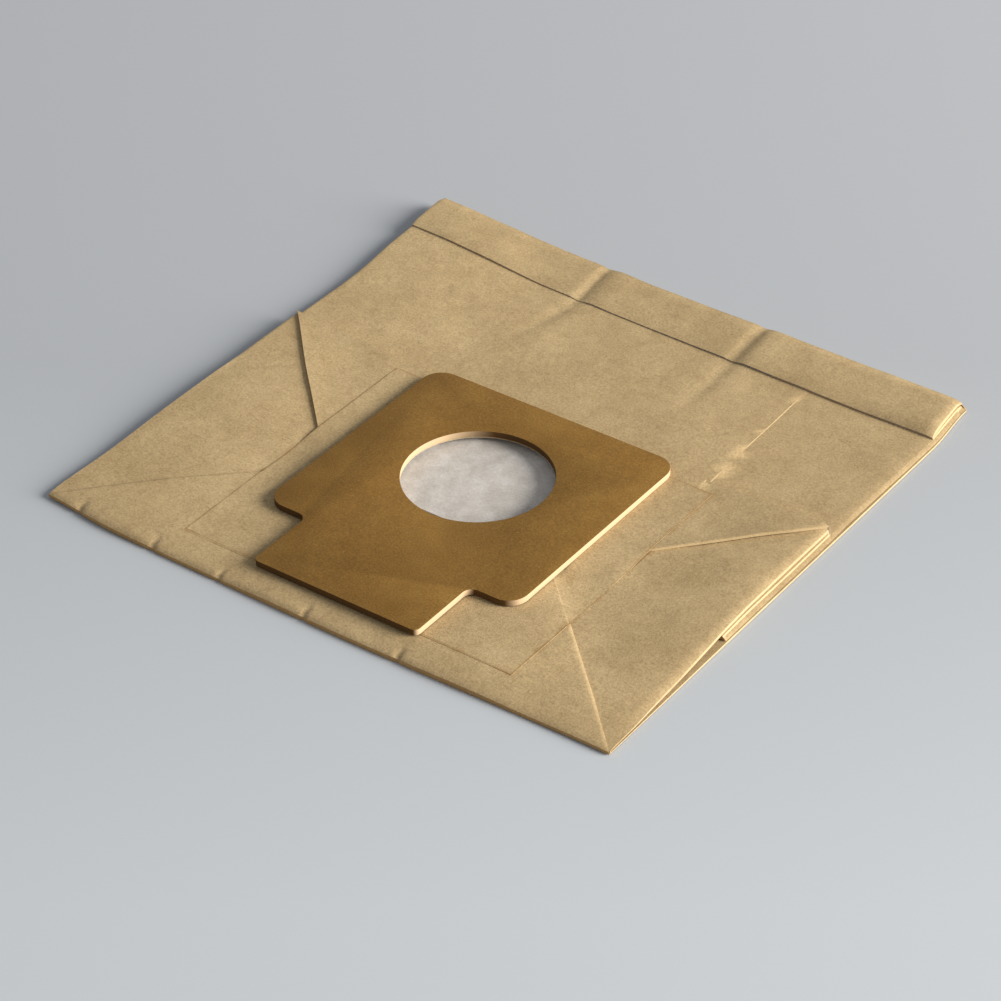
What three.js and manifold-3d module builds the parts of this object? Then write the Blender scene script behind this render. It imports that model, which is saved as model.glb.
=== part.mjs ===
import * as THREE from 'three';
import { mergeVertices } from 'three/addons/utils/BufferGeometryUtils.js';
import Module from 'manifold-3d';

// A paper dust bag for a vacuum cleaner, folded flat as it leaves its packet. Millimetres, +Z up.
// A gusseted paper tube of two plies, an outer kraft bag and a filter liner, is creased flat. Its front
// end is folded into a block bottom that lies on top of the upper wall, its back end is folded over once.
// A paper patch covers the block bottom, and a card collar plate with the round inlet is glued on it.
// While it is drawn, y runs back from the front fold. The last group moves the origin to the middle of
// the underside.

// Bag
const bagWidth = 200;
const bagLength = 200;
const baseDepth = 117;
const flapOverlap = 12;
const closureDepthLeft = 19;
const closureDepthRight = 23;

// Paper
const kraftThickness = 0.12;
const linerThickness = 0.08;
const plyGap = 0.03;
const panelGap = 0.07;

// Creases, pressed flatter than the stack of plies beside them
const frontCreaseHeight = 1;
const baseCreaseStep = 0.9;
const closureCreaseHeight = 1.6;
const closureCreaseRun = 5;
const creaseMargin = 0.5;
const bendSetback = 0.3;

// Base patch
const patchWidth = 117;
const patchOffset = 3.5;
const patchFrontInset = 9.5;
const patchBackInset = 5;

// Collar plate
const collarWidth = 90.4;
const collarThickness = 2;
const collarOffset = 1.8;
const collarFrontInset = 7;
const collarBackInset = 0.1;
const collarCornerRadius = 7;
const tabWidth = 58.8;
const tabLength = 25.2;
const tabCornerRadius = 2;
const shoulderRadius = 6.5;
const notchRadius = 3.2;

// Inlet
const inletDiameter = 46.5;
const inletOffset = 1.3;
const inletFromBack = 39.6;
const paperHoleClearance = 0.2;
const inletSegments = 72;
const cornerSegments = 8;
const nickSegments = 12;
const sliverSize = 0.005;

// Colours and surfaces
const kraftColour = 0xb49d74;
const linerColour = 0xc9c2b9;
const cardColour = 0x86643a;
const paperRoughness = 0.9;
const cardRoughness = 0.85;

// Sizes that follow
const halfWidth = bagWidth / 2;
const gussetDepth = baseDepth / 2;
const flapLength = (baseDepth + flapOverlap) / 2;
const inletFromFront = baseDepth - inletFromBack;
const panelThickness = kraftThickness + plyGap + linerThickness;
const panelPitch = panelThickness + panelGap;
const nestStep = panelThickness + plyGap;

// Folded panels from the bottom of the stack to the top, counted in panel heights
const level = {
  lowerWall: 0,
  lowerGusset: 1,
  upperGusset: 2,
  upperWall: 3,
  returnWall: 4,
  returnGusset: 5,
  sideTriangle: 6,
  sideTuck: 7,
  wing: 8,
  frontFlap: 9,
  backFlap: 10,
  patch: 11,
  closureUpperWall: 4,
  closureUpperGusset: 5,
  closureLowerGusset: 6,
  closureLowerWall: 7
};

const wasm = await Module();
wasm.setup();

// Solids

function solidFromPoints(points, triangles) {
  return new wasm.Manifold(new wasm.Mesh({
    numProp: 3,
    vertProperties: Float32Array.from(points),
    triVerts: Uint32Array.from(triangles)
  }));
}

function solidFromGeometry(geometry) {
  const plain = geometry.clone();
  plain.deleteAttribute('normal');
  plain.deleteAttribute('uv');
  const merged = mergeVertices(plain, 1e-5);
  return solidFromPoints(merged.attributes.position.array, merged.index.array);
}

function prism(outline, bottom, height) {
  const shape = outline instanceof THREE.Shape ? outline : new THREE.Shape(outline);
  const geometry = new THREE.ExtrudeGeometry(shape, {
    depth: height,
    bevelEnabled: false,
    curveSegments: cornerSegments
  });
  geometry.translate(0, 0, bottom);
  return geometry;
}

function joined(geometries) {
  return geometries.map(solidFromGeometry).reduce((whole, piece) => whole.add(piece));
}

function roundCutter(x, y, radius, bottom, top, segments) {
  const cutter = new THREE.CylinderGeometry(radius, radius, top - bottom, segments);
  cutter.rotateX(Math.PI / 2);
  cutter.translate(x, y, (top + bottom) / 2);
  return solidFromGeometry(cutter);
}

// Plies: each knows its thickness, its place within a panel, how far in it lies at a fold, and the
// radius of the nick that clears its bends from the other ply's where four folds meet

const kraft = {
  thickness: kraftThickness,
  nickRadius: 0,
  lift: (outsideUp) => (outsideUp ? linerThickness + plyGap : 0),
  foldInset: (fold) => (fold.outerPly === 'kraft' ? 0 : linerThickness + plyGap) + fold.nest * nestStep
};

const liner = {
  thickness: linerThickness,
  nickRadius: 3 * nestStep,
  lift: (outsideUp) => (outsideUp ? 0 : kraftThickness + plyGap),
  foldInset: (fold) => (fold.outerPly === 'liner' ? 0 : kraftThickness + plyGap) + fold.nest * nestStep
};

// Edges of a panel: cut ones, and folds with the kraft or the liner on the outside of the bend.
// A fold that lies inside another one is nested one step further in.

const cutEdge = { outerPly: 'none', nest: 0 };
const kraftFold = (nest = 0) => ({ outerPly: 'kraft', nest });
const linerFold = (nest = 0) => ({ outerPly: 'liner', nest });

function edgeInset(ply, edge) {
  return edge === cutEdge ? 0 : ply.foldInset(edge);
}

// A convex outline with each edge moved in by its own distance
function insetOutline(corners, insets) {
  const turn = Math.sign(THREE.ShapeUtils.area(corners));
  const lines = corners.map((corner, i) => {
    const along = corners[(i + 1) % corners.length].clone().sub(corner).normalize();
    const inward = new THREE.Vector2(-along.y, along.x).multiplyScalar(turn);
    return { point: corner.clone().addScaledVector(inward, insets[i]), along };
  });
  return lines.map((line, i) => {
    const before = lines[(i + lines.length - 1) % lines.length];
    const offset = line.point.clone().sub(before.point);
    const reach = offset.cross(line.along) / before.along.cross(line.along);
    return before.point.clone().addScaledVector(before.along, reach);
  });
}

function plyBottom(ply, panel) {
  return panel.level * panelPitch + ply.lift(panel.outsideUp);
}

function plate(ply, panel) {
  const outline = insetOutline(panel.corners, panel.edges.map((edge) => edgeInset(ply, edge)));
  return prism(outline, plyBottom(ply, panel), ply.thickness);
}

// The bend along one edge of a panel, up or down to the panel that it is folded from. It stops a little
// short of a cut edge.
function bend(ply, panel, edgeIndex, otherPanel) {
  const insets = panel.edges.map((edge) => (edge === cutEdge ? bendSetback : edgeInset(ply, edge)));
  const outside = insetOutline(panel.corners, insets);
  insets[edgeIndex] += ply.thickness;
  const inside = insetOutline(panel.corners, insets);
  const next = (edgeIndex + 1) % panel.corners.length;
  const outline = [outside[edgeIndex], outside[next], inside[next], inside[edgeIndex]];
  const bottom = Math.min(plyBottom(ply, panel), plyBottom(ply, otherPanel));
  const top = Math.max(plyBottom(ply, panel), plyBottom(ply, otherPanel)) + ply.thickness;
  return prism(outline, bottom, top - bottom);
}

// Panels

function closureFront(x) {
  const share = (x + halfWidth) / bagWidth;
  return bagLength - THREE.MathUtils.lerp(closureDepthLeft, closureDepthRight, share);
}

const at = (x, y) => new THREE.Vector2(x, y);

const walls = {
  lower: {
    level: level.lowerWall,
    outsideUp: false,
    corners: [at(-halfWidth, 0), at(halfWidth, 0), at(halfWidth, bagLength), at(-halfWidth, bagLength)],
    edges: [kraftFold(), kraftFold(), kraftFold(), kraftFold()]
  },
  upper: {
    level: level.upperWall,
    outsideUp: true,
    corners: [at(-halfWidth, gussetDepth), at(halfWidth, gussetDepth), at(halfWidth, bagLength),
      at(-halfWidth, bagLength)],
    edges: [linerFold(1), kraftFold(), linerFold(3), kraftFold()]
  },
  return: {
    level: level.returnWall,
    outsideUp: false,
    corners: [at(-halfWidth, gussetDepth), at(halfWidth, gussetDepth), at(halfWidth, baseDepth),
      at(-halfWidth, baseDepth)],
    edges: [linerFold(1), kraftFold(), kraftFold(), kraftFold()]
  },
  closureLower: {
    level: level.closureLowerWall,
    outsideUp: true,
    corners: [at(-halfWidth, closureFront(-halfWidth)), at(halfWidth, closureFront(halfWidth)),
      at(halfWidth, bagLength), at(-halfWidth, bagLength)],
    edges: [cutEdge, kraftFold(), kraftFold(), kraftFold()]
  },
  closureUpper: {
    level: level.closureUpperWall,
    outsideUp: false,
    corners: [at(-halfWidth, closureFront(-halfWidth)), at(halfWidth, closureFront(halfWidth)),
      at(halfWidth, bagLength), at(-halfWidth, bagLength)],
    edges: [cutEdge, kraftFold(), linerFold(3), kraftFold()]
  }
};

const flaps = {
  front: {
    level: level.frontFlap,
    outsideUp: true,
    corners: [at(-halfWidth, 0), at(halfWidth, 0), at(halfWidth - flapLength, flapLength),
      at(-halfWidth + flapLength, flapLength)],
    edges: [kraftFold(), kraftFold(), cutEdge, kraftFold()]
  },
  back: {
    level: level.backFlap,
    outsideUp: true,
    corners: [at(-halfWidth, baseDepth), at(halfWidth, baseDepth),
      at(halfWidth - flapLength, baseDepth - flapLength), at(-halfWidth + flapLength, baseDepth - flapLength)],
    edges: [kraftFold(), kraftFold(), cutEdge, kraftFold()]
  }
};

// Panels of one side, -1 left or 1 right, drawn by their distance in from the side fold
function sidePanels(side) {
  const inFrom = (distance, y) => at(side * (halfWidth - distance), y);
  const closureAt = (distance) => inFrom(distance, closureFront(side * (halfWidth - distance)));
  const wingTip = gussetDepth - creaseMargin;
  return {
    lowerGusset: {
      level: level.lowerGusset,
      outsideUp: true,
      corners: [inFrom(0, 0), inFrom(gussetDepth, gussetDepth), inFrom(gussetDepth, bagLength),
        inFrom(0, bagLength)],
      edges: [linerFold(1), linerFold(), linerFold(1), kraftFold()]
    },
    upperGusset: {
      level: level.upperGusset,
      outsideUp: false,
      corners: [inFrom(0, gussetDepth), inFrom(gussetDepth, gussetDepth), inFrom(gussetDepth, bagLength),
        inFrom(0, bagLength)],
      edges: [kraftFold(), linerFold(), kraftFold(2), kraftFold()]
    },
    returnGusset: {
      level: level.returnGusset,
      outsideUp: true,
      corners: [inFrom(0, gussetDepth), inFrom(gussetDepth, gussetDepth), inFrom(0, baseDepth)],
      edges: [kraftFold(), linerFold(1), kraftFold()]
    },
    sideTriangle: {
      level: level.sideTriangle,
      outsideUp: false,
      corners: [inFrom(0, 0), inFrom(gussetDepth, gussetDepth), inFrom(0, baseDepth)],
      edges: [linerFold(1), linerFold(1), kraftFold()]
    },
    sideTuck: {
      level: level.sideTuck,
      outsideUp: true,
      corners: [inFrom(0, 0), inFrom(flapLength, 0), inFrom(flapLength, baseDepth), inFrom(0, baseDepth)],
      edges: [linerFold(1), cutEdge, linerFold(1), kraftFold()]
    },
    frontWing: {
      level: level.wing,
      outsideUp: false,
      corners: [inFrom(0, 0), inFrom(flapLength, 0), inFrom(flapLength, wingTip), inFrom(wingTip, wingTip)],
      edges: [linerFold(1), cutEdge, cutEdge, kraftFold()]
    },
    backWing: {
      level: level.wing,
      outsideUp: false,
      corners: [inFrom(0, baseDepth), inFrom(flapLength, baseDepth), inFrom(flapLength, baseDepth - wingTip),
        inFrom(wingTip, baseDepth - wingTip)],
      edges: [linerFold(1), cutEdge, cutEdge, kraftFold()]
    },
    closureLowerGusset: {
      level: level.closureLowerGusset,
      outsideUp: false,
      corners: [closureAt(0), closureAt(gussetDepth), inFrom(gussetDepth, bagLength), inFrom(0, bagLength)],
      edges: [cutEdge, linerFold(), linerFold(1), kraftFold()]
    },
    closureUpperGusset: {
      level: level.closureUpperGusset,
      outsideUp: true,
      corners: [closureAt(0), closureAt(gussetDepth), inFrom(gussetDepth, bagLength), inFrom(0, bagLength)],
      edges: [cutEdge, linerFold(), kraftFold(2), kraftFold()]
    }
  };
}

// Every bend of one side: the panel, which of its edges, and the panel on the other side of the fold
function sideBends(panels) {
  return [
    [panels.lowerGusset, 0, panels.sideTriangle],
    [panels.lowerGusset, 1, panels.upperGusset],
    [panels.lowerGusset, 2, panels.closureLowerGusset],
    [panels.lowerGusset, 3, walls.lower],
    [panels.upperGusset, 0, panels.returnGusset],
    [panels.upperGusset, 2, panels.closureUpperGusset],
    [panels.upperGusset, 3, walls.upper],
    [panels.returnGusset, 1, panels.sideTriangle],
    [panels.returnGusset, 2, walls.return],
    [panels.sideTriangle, 2, panels.sideTuck],
    [panels.frontWing, 0, panels.sideTuck],
    [panels.backWing, 0, panels.sideTuck],
    [panels.frontWing, 3, flaps.front],
    [panels.backWing, 3, flaps.back],
    [panels.closureLowerGusset, 1, panels.closureUpperGusset],
    [panels.closureLowerGusset, 3, walls.closureLower],
    [panels.closureUpperGusset, 3, walls.closureUpper]
  ];
}

const middleBends = [
  [walls.lower, 0, flaps.front],
  [walls.lower, 2, walls.closureLower],
  [walls.upper, 0, walls.return],
  [walls.upper, 2, walls.closureUpper],
  [walls.return, 2, flaps.back]
];

// One ply of the whole bag, folded from a single sheet, with the inlet cut through its base flaps
function foldedPly(ply) {
  const sides = [-1, 1].map(sidePanels);
  const panels = [walls, flaps, ...sides].flatMap((set) => Object.values(set));
  const bends = [...middleBends, ...sides.flatMap(sideBends)];
  const sheet = joined([
    ...panels.map((panel) => plate(ply, panel)),
    ...bends.map(([panel, edgeIndex, otherPanel]) => bend(ply, panel, edgeIndex, otherPanel))
  ]);
  const inletRadius = inletDiameter / 2 + paperHoleClearance;
  const cuts = [roundCutter(inletOffset, inletFromFront, inletRadius, level.returnGusset * panelPitch,
    level.patch * panelPitch, inletSegments)];
  if (ply.nickRadius > 0) {
    const corner = halfWidth - gussetDepth;
    cuts.push(...[-corner, corner].map((x) => roundCutter(x, gussetDepth, ply.nickRadius,
      level.lowerGusset * panelPitch, level.sideTuck * panelPitch, nickSegments)));
  }
  return cuts.reduce((whole, cut) => whole.subtract(cut), sheet);
}

// Pressed creases: near a crease the whole stack is squeezed towards what it lies on

const bodyTop = level.upperWall * panelPitch + panelThickness;
const flapTop = level.frontFlap * panelPitch + panelThickness;
const baseTop = level.backFlap * panelPitch + panelThickness;
const closureTop = level.closureLowerWall * panelPitch + panelThickness;
const frontCreaseRun = collarFrontInset - creaseMargin;
const baseCreaseRun = patchBackInset - creaseMargin;

function pressedHeight(y, z) {
  const { smoothstep, lerp, clamp } = THREE.MathUtils;
  const ramp = (from, to) => clamp((y - from) / (to - from), 0, 1);
  const front = lerp(frontCreaseHeight / flapTop, 1, ramp(0, frontCreaseRun));
  const closure = lerp(1, closureCreaseHeight / closureTop, ramp(bagLength - closureCreaseRun, bagLength));
  const base = lerp(1, baseCreaseStep / (baseTop - bodyTop), ramp(baseDepth - baseCreaseRun, baseDepth));
  const height = z > bodyTop && y <= baseDepth ? bodyTop + (z - bodyTop) * base : z;
  return height * front * closure;
}

// Cuts every triangle that crosses the plane at y in two or three, so that the surface can bend there
function splitAcross(mesh, y) {
  const points = Array.from(mesh.points);
  const triangles = [];
  const splitPoints = new Map();
  const sideOf = (i) => Math.sign(Math.round((points[3 * i + 1] - y) * 1e4));
  const between = (i, j) => {
    const [low, high] = i < j ? [i, j] : [j, i];
    const key = `${low} ${high}`;
    if (!splitPoints.has(key)) {
      const share = (y - points[3 * low + 1]) / (points[3 * high + 1] - points[3 * low + 1]);
      splitPoints.set(key, points.length / 3);
      points.push(
        THREE.MathUtils.lerp(points[3 * low], points[3 * high], share),
        y,
        THREE.MathUtils.lerp(points[3 * low + 2], points[3 * high + 2], share)
      );
    }
    return splitPoints.get(key);
  };
  for (let t = 0; t < mesh.triangles.length; t += 3) {
    const ring = [];
    for (let k = 0; k < 3; k += 1) {
      const here = mesh.triangles[t + k];
      const next = mesh.triangles[t + ((k + 1) % 3)];
      ring.push(here);
      if (sideOf(here) * sideOf(next) < 0) ring.push(between(here, next));
    }
    for (const sign of [-1, 1]) {
      const part = ring.filter((i) => sideOf(i) * sign >= 0 || i * 3 >= mesh.points.length);
      const touches = part.some((i) => sideOf(i) === sign);
      if (!touches) continue;
      for (let k = 1; k + 1 < part.length; k += 1) triangles.push(part[0], part[k], part[k + 1]);
    }
  }
  return { points, triangles };
}

function geometryOf(solid) {
  const { vertProperties, triVerts } = solid.getMesh();
  const geometry = new THREE.BufferGeometry();
  geometry.setAttribute('position', new THREE.BufferAttribute(vertProperties, 3));
  geometry.setIndex(new THREE.BufferAttribute(triVerts, 1));
  const flat = geometry.toNonIndexed();
  flat.computeVertexNormals();
  return flat;
}

function pressedSheet(ply) {
  const whole = foldedPly(ply).getMesh();
  let mesh = { points: Array.from(whole.vertProperties), triangles: Array.from(whole.triVerts) };
  for (const y of [frontCreaseRun, baseDepth - baseCreaseRun, bagLength - closureCreaseRun]) {
    mesh = splitAcross(mesh, y);
  }
  for (let i = 0; i < mesh.points.length; i += 3) {
    mesh.points[i + 2] = pressedHeight(mesh.points[i + 1], mesh.points[i + 2]);
  }
  // The joins leave slivers, which are merged into their neighbours
  return geometryOf(solidFromPoints(mesh.points, mesh.triangles).simplify(sliverSize));
}

// Flat pieces on the base

function inletPath(radius) {
  return new THREE.Path().absarc(inletOffset, inletFromFront, radius, 0, 2 * Math.PI, true);
}

function basePatch() {
  const left = patchOffset - patchWidth / 2;
  const right = patchOffset + patchWidth / 2;
  const front = patchFrontInset;
  const back = baseDepth - patchBackInset;
  const outline = new THREE.Shape([at(left, front), at(right, front), at(right, back), at(left, back)]);
  outline.holes.push(new THREE.Path(inletPath(inletDiameter / 2 + paperHoleClearance).getPoints(inletSegments)));
  return prism(outline, 0, kraftThickness);
}

// A closed outline through corners that are each rounded by their own radius, turning either way
function roundedOutline(corners) {
  const outline = new THREE.Shape();
  corners.forEach(({ point, radius }, i) => {
    const before = corners[(i + corners.length - 1) % corners.length].point;
    const after = corners[(i + 1) % corners.length].point;
    const arrive = point.clone().sub(before).normalize();
    const leave = after.clone().sub(point).normalize();
    const turn = Math.sign(arrive.cross(leave));
    const start = point.clone().addScaledVector(arrive, -radius);
    const centre = start.clone().add(new THREE.Vector2(-arrive.y, arrive.x).multiplyScalar(turn * radius));
    const from = Math.atan2(start.y - centre.y, start.x - centre.x);
    if (i === 0) outline.moveTo(start.x, start.y);
    outline.absarc(centre.x, centre.y, radius, from, from + turn * Math.PI / 2, turn < 0);
  });
  outline.closePath();
  return outline;
}

function collarPlate() {
  const left = collarOffset - collarWidth / 2;
  const right = collarOffset + collarWidth / 2;
  const tabLeft = collarOffset - tabWidth / 2;
  const tabRight = collarOffset + tabWidth / 2;
  const front = collarFrontInset;
  const shoulder = front + tabLength;
  const back = baseDepth - collarBackInset;
  const outline = roundedOutline([
    { point: at(tabLeft, front), radius: tabCornerRadius },
    { point: at(tabRight, front), radius: tabCornerRadius },
    { point: at(tabRight, shoulder), radius: notchRadius },
    { point: at(right, shoulder), radius: shoulderRadius },
    { point: at(right, back), radius: collarCornerRadius },
    { point: at(left, back), radius: collarCornerRadius },
    { point: at(left, shoulder), radius: shoulderRadius },
    { point: at(tabLeft, shoulder), radius: notchRadius }
  ]);
  outline.holes.push(new THREE.Path(inletPath(inletDiameter / 2).getPoints(inletSegments)));
  return prism(outline, 0, collarThickness);
}

// Assembly

function named(name, geometry, colour, roughness) {
  const material = new THREE.MeshStandardMaterial({ color: colour, roughness, metalness: 0 });
  const mesh = new THREE.Mesh(geometry, material);
  mesh.name = name;
  return mesh;
}

const bag = new THREE.Group();
bag.position.y = -bagLength / 2;
bag.add(named('kraft_bag', pressedSheet(kraft), kraftColour, paperRoughness));
bag.add(named('filter_liner', pressedSheet(liner), linerColour, paperRoughness));

const base = new THREE.Group();
base.position.z = level.patch * panelPitch;
bag.add(base);
base.add(named('base_patch', basePatch(), kraftColour, paperRoughness));

const collar = named('collar_plate', collarPlate(), cardColour, cardRoughness);
collar.position.z = kraftThickness + panelGap;
base.add(collar);

const dustBag = new THREE.Group();
dustBag.add(bag);

export default dustBag;
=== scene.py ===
"""Vacuum dust bag: the visual model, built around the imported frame.

The paper of the bag is folded flat in the solids. Here each ply gets the shape that paper takes by
itself: the stack springs open at its right side, sags between the side gussets, is pressed thin at
its creases and carries the soft dents of handling. The card plate gets its die-cut edges.
"""
import logging
import math
from dataclasses import dataclass
from enum import Enum
from typing import Callable, Sequence

import bpy
import numpy as np
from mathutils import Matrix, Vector


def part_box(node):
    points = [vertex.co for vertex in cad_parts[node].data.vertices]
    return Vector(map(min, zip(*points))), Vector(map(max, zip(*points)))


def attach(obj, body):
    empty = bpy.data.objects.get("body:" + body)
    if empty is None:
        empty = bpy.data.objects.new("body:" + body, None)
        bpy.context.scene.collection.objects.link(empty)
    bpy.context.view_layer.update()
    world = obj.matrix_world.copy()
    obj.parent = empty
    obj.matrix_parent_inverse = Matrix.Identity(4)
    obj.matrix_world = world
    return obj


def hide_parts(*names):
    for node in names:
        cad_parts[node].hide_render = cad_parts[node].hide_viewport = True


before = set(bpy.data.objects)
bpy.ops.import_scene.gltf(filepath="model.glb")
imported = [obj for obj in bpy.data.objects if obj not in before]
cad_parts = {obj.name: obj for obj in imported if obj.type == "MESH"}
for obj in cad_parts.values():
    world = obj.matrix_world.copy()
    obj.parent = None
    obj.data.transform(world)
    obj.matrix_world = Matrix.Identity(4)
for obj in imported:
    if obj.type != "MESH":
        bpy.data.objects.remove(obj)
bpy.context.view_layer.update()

MM = 0.001
MERGE_MM = 0.002
LOG = logging.getLogger("dust_bag")
Array = np.ndarray


# Small helpers


def linear(hex_colour: str, alpha: float = 1.0) -> tuple[float, float, float, float]:
    """Turn an sRGB hex colour into the linear colour that a socket takes.

    Args:
        hex_colour: Six hex digits, with or without a leading hash.
        alpha: Opacity of the colour.

    Returns:
        Red, green, blue and alpha, linear.
    """
    digits = hex_colour.lstrip("#")
    channels = []
    for start in (0, 2, 4):
        value = int(digits[start:start + 2], 16) / 255
        channels.append(value / 12.92 if value <= 0.04045 else ((value + 0.055) / 1.055) ** 2.4)
    return channels[0], channels[1], channels[2], alpha


def ramp(value: Array, start: float, end: float) -> Array:
    """Give a straight ramp from 0 at start to 1 at end."""
    return np.clip((value - start) / (end - start), 0.0, 1.0)


def soft(value: Array, start: float, end: float) -> Array:
    """Give a smooth step from 0 at start to 1 at end."""
    share = ramp(value, start, end)
    return share * share * (3.0 - 2.0 * share)


def bell(value: Array, centre: Array | float, width: float) -> Array:
    """Give a bell curve, 1 at its centre and nearly 0 two widths away."""
    return np.exp(-((value - centre) / width) ** 2)


def mix(low: Array | float, high: Array | float, share: Array) -> Array:
    """Blend from low to high."""
    return low + (high - low) * share


def smoothest(share: Array) -> Array:
    """Ease a share from 0 to 1 with no kink in its slope or its curve at either end."""
    return share * share * share * (share * (share * 6.0 - 15.0) + 10.0)


class Cockle:
    """Smooth random height over the sheet, the same each run.

    Its lattice starts at START, in millimetres, and is SPAN wide and long, which is more than the bag.
    """

    START = (-150.0, -50.0)
    SPAN = 400.0
    MARGIN = 4

    def __init__(self, seed: int, cell: float) -> None:
        """Draw the lattice.

        Args:
            seed: Seed of the random draw.
            cell: Distance between lattice points in millimetres.
        """
        count = int(self.SPAN / cell) + self.MARGIN
        self.cell = cell
        self.values = np.random.default_rng(seed).uniform(-1.0, 1.0, (count, count))

    def at(self, x: Array, y: Array) -> Array:
        """Read the height, from -1 to 1, at places given in millimetres.

        Args:
            x: Places across the bag.
            y: Places along the bag.

        Returns:
            The height at each place.
        """
        across = (x - self.START[0]) / self.cell
        along = (y - self.START[1]) / self.cell
        column = np.floor(across).astype(int)
        row = np.floor(along).astype(int)
        rightwards = smoothest(across - column)
        near = mix(self.values[row, column], self.values[row, column + 1], rightwards)
        far = mix(self.values[row + 1, column], self.values[row + 1, column + 1], rightwards)
        return mix(near, far, smoothest(along - row))


def deselect_all() -> None:
    """Leave object mode's selection empty."""
    if bpy.context.object and bpy.context.object.mode != "OBJECT":
        bpy.ops.object.mode_set(mode="OBJECT")
    bpy.ops.object.select_all(action="DESELECT")


def activate(piece: bpy.types.Object) -> None:
    """Select one object alone and make it the active one.

    Args:
        piece: The object.
    """
    deselect_all()
    piece.select_set(True)
    bpy.context.view_layer.objects.active = piece


def coordinates(piece: bpy.types.Object) -> Array:
    """Read a mesh's points.

    Args:
        piece: The mesh object.

    Returns:
        Rows of x, y and z in metres.
    """
    points = np.empty(len(piece.data.vertices) * 3)
    piece.data.vertices.foreach_get("co", points)
    return points.reshape(-1, 3)


def set_coordinates(piece: bpy.types.Object, points: Array) -> None:
    """Write a mesh's points back."""
    piece.data.vertices.foreach_set("co", points.ravel())
    piece.data.update()


def copy_of_node(node: str, name: str) -> bpy.types.Object:
    """Copy a solid's mesh into a new piece and merge its loose triangles.

    Args:
        node: Name of the solid in the frame.
        name: Name of the new piece.

    Returns:
        The new piece, with its points merged.
    """
    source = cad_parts[node]
    mesh = source.data.copy()
    mesh.materials.clear()
    piece = bpy.data.objects.new(name, mesh)
    bpy.context.scene.collection.objects.link(piece)
    activate(piece)
    bpy.ops.object.mode_set(mode="EDIT")
    bpy.ops.mesh.select_all(action="SELECT")
    bpy.ops.mesh.remove_doubles(threshold=MERGE_MM * MM)
    bpy.ops.mesh.customdata_custom_splitnormals_clear()
    bpy.ops.object.mode_set(mode="OBJECT")
    return piece


def cut_across(piece: bpy.types.Object, axis: Vector, places: Sequence[float]) -> None:
    """Cut a mesh's faces along planes, so that it can bend there.

    Args:
        piece: The mesh object to cut.
        axis: Normal of the planes.
        places: Distance of each plane from the origin, in millimetres.
    """
    activate(piece)
    bpy.ops.object.mode_set(mode="EDIT")
    for place in places:
        bpy.ops.mesh.select_all(action="SELECT")
        bpy.ops.mesh.bisect(plane_co=axis * (place * MM), plane_no=axis)
    bpy.ops.object.mode_set(mode="OBJECT")


# The folded paper


Pair = tuple[float, float]
Profile = tuple[tuple[float, ...], tuple[float, ...]]


def read_profile(profile: Profile, place: Array | float) -> Array:
    """Read a profile, which is places in millimetres and the values there."""
    return np.interp(place, *profile)


@dataclass(frozen=True)
class Crease:
    """The mitred edge at one corner of the block bottom.

    side is 1 on the right and -1 on the left, ahead tells the front flap from the back one. pinch is
    the share of the height pressed away, over run millimetres, and curl is how far the edge stands up.
    """

    side: int
    ahead: bool
    pinch: float
    run: float
    curl: float


class Corner(Enum):
    """The corners of the block bottom, each with the crease of its mitred edge."""

    FRONT_LEFT = Crease(side=-1, ahead=True, pinch=0.55, run=0.9, curl=0.0)
    FRONT_RIGHT = Crease(side=1, ahead=True, pinch=0.70, run=1.3, curl=0.0)
    BACK_LEFT = Crease(side=-1, ahead=False, pinch=0.0, run=1.0, curl=0.30)
    BACK_RIGHT = Crease(side=1, ahead=False, pinch=0.10, run=0.5, curl=0.35)


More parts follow.
